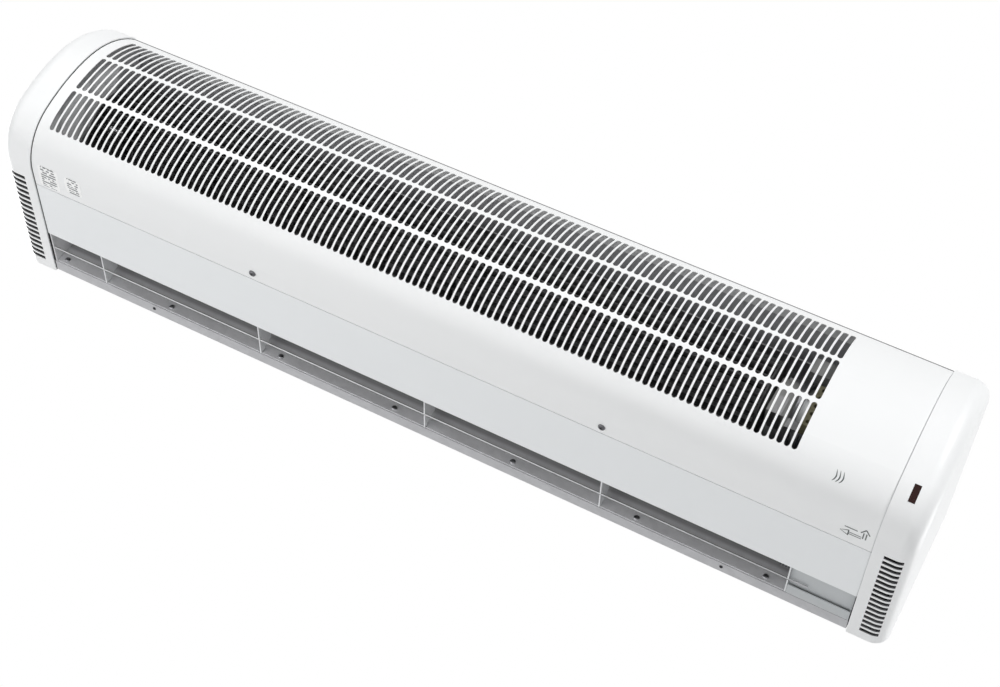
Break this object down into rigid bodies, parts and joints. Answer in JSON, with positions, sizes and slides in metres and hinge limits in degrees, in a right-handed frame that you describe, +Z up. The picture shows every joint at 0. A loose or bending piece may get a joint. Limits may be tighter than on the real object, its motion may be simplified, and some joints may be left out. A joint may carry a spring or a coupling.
{
  "type": "air curtain",
  "caption": "Wall-mounted air curtain: curved slotted intake cover, full-length cross-flow fan, finned rod heater and a narrow outlet along the rear of the underside",
  "frame": {"origin": "centre of the four wall-fixing slots, on the wall plane", "axes": "+X along the unit towards the electrical end, +Y into the wall, +Z up"},
  "size_m": [1.094, 0.243, 0.2194],
  "materials": {
    "cover_paint": "smooth white powder coat",
    "panel_paint": "smooth off-white powder coat",
    "cap_plastic": "fine moulded satin",
    "white_plastic": "satin",
    "galvanised": "galvanised sheet, dull",
    "screw_steel": "zinc plated",
    "shaft_steel": "ground",
    "window_red": "dark infrared-clear plastic",
    "circuit_board": "solder mask",
    "relay_black": "moulded",
    "rotor_black": "moulded, glass filled",
    "rubber_black": "soft rubber",
    "bronze": "sintered",
    "stator_steel": "laminated",
    "shell_alloy": "die cast",
    "capacitor_ivory": "moulded",
    "terminal_cream": "moulded",
    "heater_steel": "heat-dulled",
    "ceramic": "unglazed ceramic",
    "cutout_black": "moulded",
    "gland_grey": "nylon"
  },
  "bodies": {
    "housing": {"front_cover": "cover_paint", "cover_screws": "screw_steel", "rear_casing": "galvanised", "bottom_panel": "panel_paint", "strip_screws": "screw_steel", "end_cap_left": "cap_plastic", "end_cap_right": "cap_plastic", "cap_screws": "screw_steel", "receiver_window": "window_red", "receiver_board": "circuit_board", "side_plate_left": "galvanised", "side_plate_right": "galvanised", "partition_plate": "galvanised", "compartment_tray": "white_plastic", "scroll_wall": "galvanised", "stabiliser": "galvanised", "duct_screws": "screw_steel", "outlet_ribs": "white_plastic", "guard_rod": "screw_steel", "left_bearing": "bronze", "bearing_bush": "rubber_black", "motor_stator": "stator_steel", "motor_shells": "shell_alloy", "motor_dampers": "rubber_black", "motor_bracket": "galvanised", "motor_plug": "capacitor_ivory", "capacitor": "capacitor_ivory", "capacitor_strap": "screw_steel", "terminal_block": "terminal_cream", "heater_front": "heater_steel", "heater_rear": "heater_steel", "heater_upper": "heater_steel", "heater_bushes": "ceramic", "heater_holders": "galvanised", "thermal_cutout": "cutout_black", "control_board": "circuit_board", "control_relays": "relay_black", "board_posts": "cap_plastic", "mains_terminals": "terminal_cream", "cable_gland": "gland_grey", "gland_nut": "gland_grey"},
    "fan_rotor": {"impeller": "rotor_black", "stub_shaft": "shaft_steel", "drive_hub": "rotor_black", "motor_shaft": "shaft_steel"}
  },
  "joints": [
    {"name": "rotor_spin", "type": "hinge", "parent": "housing", "child": "fan_rotor", "pos_m": [0, -0.135, 0.01], "axis": [1, 0, 0], "continuous": true}
  ]
}
